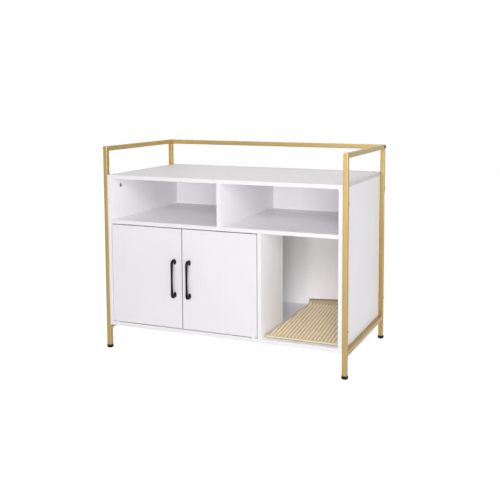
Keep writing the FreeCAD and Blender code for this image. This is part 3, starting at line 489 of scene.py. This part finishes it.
class MatShape:
    """The mat's underside: flat on the floor, round a bend and up the back, measured from the front."""

    def __init__(self):
        self.low, self.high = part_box("entry_mat")
        self.width = self.high.x - self.low.x
        self.flat = self.high.y - BEND_RADIUS - self.low.y
        self.bend = BEND_RADIUS * math.pi / 2
        self.length = self.flat + self.bend + self.high.z - self.low.z - BEND_RADIUS

    def length_at(self, across):
        """The mat lies a little askew, so its rear edge stands higher on the right."""
        return self.length + REAR_RISE - REAR_SKEW * (1 - across / self.width)

    def point(self, across, along, lift):
        """The place that is lifted off the underside by the given height."""
        x = self.low.x + across
        centre_y = self.high.y - BEND_RADIUS
        centre_z = self.low.z + BEND_RADIUS
        if along <= self.flat:
            return x, self.low.y + along, self.low.z + lift
        if along <= self.flat + self.bend:
            angle = (along - self.flat) / BEND_RADIUS
            reach = BEND_RADIUS - lift
            return x, centre_y + reach * math.sin(angle), centre_z - reach * math.cos(angle)
        return x, self.high.y - lift, centre_z + along - self.flat - self.bend


def new_piece(name, points, faces, finish, attributes):
    """A smooth mesh object with one finish and named values at its points."""
    mesh = bpy.data.meshes.new(name)
    mesh.from_pydata(points, [], faces)
    for label, values in attributes.items():
        mesh.attributes.new(label, "FLOAT", "POINT").data.foreach_set("value", values)
    mesh.polygons.foreach_set("use_smooth", [True] * len(mesh.polygons))
    mesh.materials.append(finish)
    mesh.update()
    piece = bpy.data.objects.new(name, mesh)
    bpy.context.scene.collection.objects.link(piece)
    return piece


def grid_faces(columns, rows, start, flip):
    """The quads of a grid of points, which is numbered row by row."""
    faces = []
    for row in range(rows - 1):
        for column in range(columns - 1):
            first = start + row * columns + column
            face = (first, first + 1, first + columns + 1, first + columns)
            faces.append(face[::-1] if flip else face)
    return faces


def grid_rim(columns, rows):
    """The border points of such a grid, as one closed loop."""
    front = list(range(columns))
    right = [row * columns + columns - 1 for row in range(1, rows)]
    rear = [(rows - 1) * columns + column for column in range(columns - 2, -1, -1)]
    left = [row * columns for row in range(rows - 2, 0, -1)]
    return front + right + rear + left


def cord_height(across, along):
    """The height of the braided cords, from 0 in a groove to 1 on a crown."""
    along_cord = along * math.cos(RIB_TURN) - across * math.sin(RIB_TURN)
    cord = (across * math.cos(RIB_TURN) + along * math.sin(RIB_TURN)) / RIB_PITCH
    off_crown = 2 * (cord % 1) - 1
    crown = math.sqrt(max(0, 1 - off_crown * off_crown))
    strands = along_cord / BRAID_LENGTH + 0.5 * (int(cord) % 2) + BRAID_LEAN * off_crown
    dip = 0.5 + 0.5 * math.cos(2 * math.pi * strands)
    return crown * (1 - BRAID_DIP * dip)


def make_weave(shape, finish):
    """The ribbed cloth: a grid of cords over a thin backing, closed round its rim."""
    grid = []
    for row in range(WEAVE_ROWS):
        for column in range(WEAVE_COLUMNS):
            across = shape.width * column / (WEAVE_COLUMNS - 1)
            grid.append((across, shape.length_at(across) * row / (WEAVE_ROWS - 1)))
    top, ribs, bands = [], [], []
    for across, along in grid:
        band = smooth(along, shape.flat + BAND_START * shape.bend, shape.flat + BAND_FULL * shape.bend)
        inset = min(across, shape.width - across, along, shape.length_at(across) - along)
        rib = cord_height(across, along) * (1 - band) + BAND_HEIGHT * band
        rib *= smooth(inset, RIB_START_INSET, RIB_FULL_INSET)
        top.append(shape.point(across, along, BACKING + RIB_HEIGHT * rib))
        ribs.append(rib)
        bands.append(band)
    underside = [shape.point(across, along, 0) for across, along in grid]
    count = len(grid)
    faces = grid_faces(WEAVE_COLUMNS, WEAVE_ROWS, start=0, flip=False)
    faces += grid_faces(WEAVE_COLUMNS, WEAVE_ROWS, start=count, flip=True)
    for here, after in round_loop(grid_rim(WEAVE_COLUMNS, WEAVE_ROWS)):
        faces.append((after, here, here + count, after + count))
    attributes = {
        "rib": ribs + [0.0] * count,
        "band": bands * 2,
        "across": [across for across, along in grid] * 2,
        "along": [along for across, along in grid] * 2,
    }
    return new_piece("mat_weave", top + underside, faces, finish, attributes)


def tape_loop(shape, inset):
    """The mat's outline with rounded corners, moved inward by the inset."""
    radius = max(TAPE_LEAST_RADIUS, TAPE_CORNER_RADIUS - inset)
    corners = []
    for turn, (right, far) in enumerate(((1, 0), (1, 1), (0, 1), (0, 0))):
        centre_x = shape.width - inset - radius if right else inset + radius
        centre_y = shape.length_at(shape.width * right) - inset - radius if far else inset + radius
        for step in range(TAPE_CORNER_STEPS + 1):
            angle = math.pi / 2 * (turn - 1 + step / TAPE_CORNER_STEPS)
            corners.append((centre_x + radius * math.cos(angle), centre_y + radius * math.sin(angle)))
    loop = []
    for start, end in round_loop(corners):
        steps = 1 if math.dist(start, end) < TAPE_LONGEST_CORNER_STEP else TAPE_SIDE_STEPS
        for step in range(steps):
            share = step / steps
            loop.append(tuple(here + (there - here) * share for here, there in zip(start, end)))
    return loop


def make_tape(shape, finish):
    """Binding tape folded over the mat's outline."""
    points, along_values, across_values, rear_shade_values, faces = [], [], [], [], []
    loops = [tape_loop(shape, inset) for inset, lift in TAPE_SECTION]
    for (inset, lift), loop in zip(TAPE_SECTION, loops):
        travelled = 0.0
        for place, following in round_loop(loop):
            across, along = place
            rear = shape.length_at(across)
            points.append(shape.point(across, along, lift))
            along_values.append(travelled)
            across_values.append(TAPE_WIDTH - inset if lift > TAPE_FOLD_HEIGHT else TAPE_WIDTH + inset)
            # How far each point lies in the painted shade along the mat's rear.
            rear_shade_values.append(smooth(along, rear - REAR_SHADE_START_INSET, rear - REAR_SHADE_FULL_INSET))
            travelled += math.dist(place, following)
    size = len(loops[0])
    for ring in range(len(TAPE_SECTION) - 1):
        here = ring * size
        beyond = here + size
        for number in range(size):
            after = (number + 1) % size
            faces.append((here + number, beyond + number, beyond + after, here + after))
    attributes = {"along": along_values, "across": across_values, "rear": rear_shade_values}
    return new_piece("mat_tape", points, faces, finish, attributes)


def make_mat(fibre):
    """The woven mat with its tape, in place of the plain slab."""
    shape = MatShape()
    weave = make_weave(shape, fibre)
    tape = make_tape(shape, cotton_tape())
    for piece in (weave, tape):
        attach(piece, "cabinet")
    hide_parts("entry_mat")


# Studio and camera


def seen_directly(shader):
    """One for what the camera, a reflection or glass sees, zero for light that a matt surface gathers."""
    path = shader.add("ShaderNodeLightPath")
    shown = shader.math("MAXIMUM", path.outputs["Is Camera Ray"], path.outputs["Is Glossy Ray"])
    return shader.math("MAXIMUM", shown, path.outputs["Is Transmission Ray"])


def make_floor():
    """A wide matt floor, seen directly as white paper with a soft shadow."""
    corners = ((-1, -1), (1, -1), (1, 1), (-1, 1))
    points = [(FLOOR_HALF * x, FLOOR_HALF * y, -FLOOR_DROP) for x, y in corners]
    mesh = bpy.data.meshes.new("floor")
    mesh.from_pydata(points, [], [(0, 1, 2, 3)])
    floor = bpy.data.objects.new("floor", mesh)
    bpy.context.scene.collection.objects.link(floor)
    shader = material_shader("pale_floor")
    matt = shader.add("ShaderNodeBsdfDiffuse", {"Color": (*FLOOR_MATT, 1)})
    shade = shader.add("ShaderNodeBsdfDiffuse", {"Color": (*FLOOR_SHADE, 1)})
    distance = shader.add("ShaderNodeVectorMath", {0: shader.place.outputs["Object"]}, operation="LENGTH")
    strength = shader.span(distance.outputs["Value"], FLOOR_FADE, FLOOR_GLOW)
    glow = shader.add("ShaderNodeEmission", {"Color": (*WHITE, 1), "Strength": strength})
    paper = shader.add("ShaderNodeAddShader", {0: shade.outputs[0], 1: glow.outputs[0]})
    sockets = {0: seen_directly(shader), 1: matt.outputs[0], 2: paper.outputs[0]}
    mixed = shader.add("ShaderNodeMixShader", sockets)
    shader.add("ShaderNodeOutputMaterial", {"Surface": mixed.outputs[0]})
    mesh.materials.append(shader.owner)


def make_world():
    """A world that gives little light, and is white where it is seen directly."""
    shader = Shader(bpy.data.worlds.new("studio"))
    strength = shader.span(seen_directly(shader), (0, 1), (WORLD_LIGHT, 1))
    background = shader.add("ShaderNodeBackground", {"Color": (*WHITE, 1), "Strength": strength})
    shader.add("ShaderNodeOutputWorld", {"Surface": background.outputs[0]})
    bpy.context.scene.world = shader.owner


def softbox(name, place, size, watts):
    """A wide lamp that faces the middle of the cabinet."""
    lamp = bpy.data.lights.new(name, "AREA")
    lamp.shape = "RECTANGLE"
    lamp.size, lamp.size_y = size
    lamp.energy = watts
    holder = bpy.data.objects.new(name, lamp)
    holder.location = place
    holder.rotation_euler = (LAMP_AIM - Vector(place)).to_track_quat("-Z", "Y").to_euler()
    bpy.context.scene.collection.objects.link(holder)


def make_lamps():
    """Soft light from all round, the most of it from the front."""
    softbox("key", place=(0.26, -4.97, 0.92), size=(0.6, 0.6), watts=40)
    softbox("front_right", place=(2.02, -4.53, 1.01), size=(2.0, 0.9), watts=80)
    softbox("front_high", place=(1.56, -4.29, 2.43), size=(2.2, 1.2), watts=85)
    softbox("front_top", place=(0.34, -3.93, 3.48), size=(2.4, 1.4), watts=18)
    softbox("side", place=(4.07, -2.85, 0.92), size=(2.2, 0.9), watts=30)
    softbox("side_far", place=(4.9, -0.86, 0.92), size=(2.2, 0.9), watts=31)
    softbox("left", place=(-4.91, 0.87, 0.75), size=(2.4, 0.7), watts=80)
    softbox("rear", place=(-1.38, 4.8, 0.57), size=(2.8, 0.6), watts=115)
    softbox("overhead", place=(0, 0, 4.0), size=(3.4, 3.0), watts=52)


def make_camera():
    """The photograph's camera, worked out from the cabinet's edges in it."""
    level = math.cos(CAMERA_PITCH)
    forward = Vector((-math.sin(CAMERA_YAW) * level, math.cos(CAMERA_YAW) * level, -math.sin(CAMERA_PITCH)))
    right = Vector((math.cos(CAMERA_YAW), math.sin(CAMERA_YAW), 0))
    up = right.cross(forward)
    rolled_right = math.cos(CAMERA_ROLL) * right + math.sin(CAMERA_ROLL) * up
    rolled_up = math.cos(CAMERA_ROLL) * up - math.sin(CAMERA_ROLL) * right
    lens = bpy.data.cameras.new("camera")
    lens.sensor_width = CAMERA_SENSOR_WIDTH
    lens.lens = CAMERA_FOCAL_LENGTH
    lens.shift_x, lens.shift_y = CAMERA_SHIFT
    lens.clip_end = CAMERA_REACH
    camera = bpy.data.objects.new("camera", lens)
    turn = Matrix((rolled_right, rolled_up, -forward)).transposed().to_4x4()
    camera.matrix_world = Matrix.Translation(CAMERA_PLACE) @ turn
    bpy.context.scene.collection.objects.link(camera)
    bpy.context.scene.camera = camera


make_camera()
slot_finishes = make_finishes()
dress(slot_finishes)
make_mat(slot_finishes["woven_fibre"])
make_floor()
make_world()
make_lamps()
bpy.context.scene.view_settings.view_transform = "Standard"
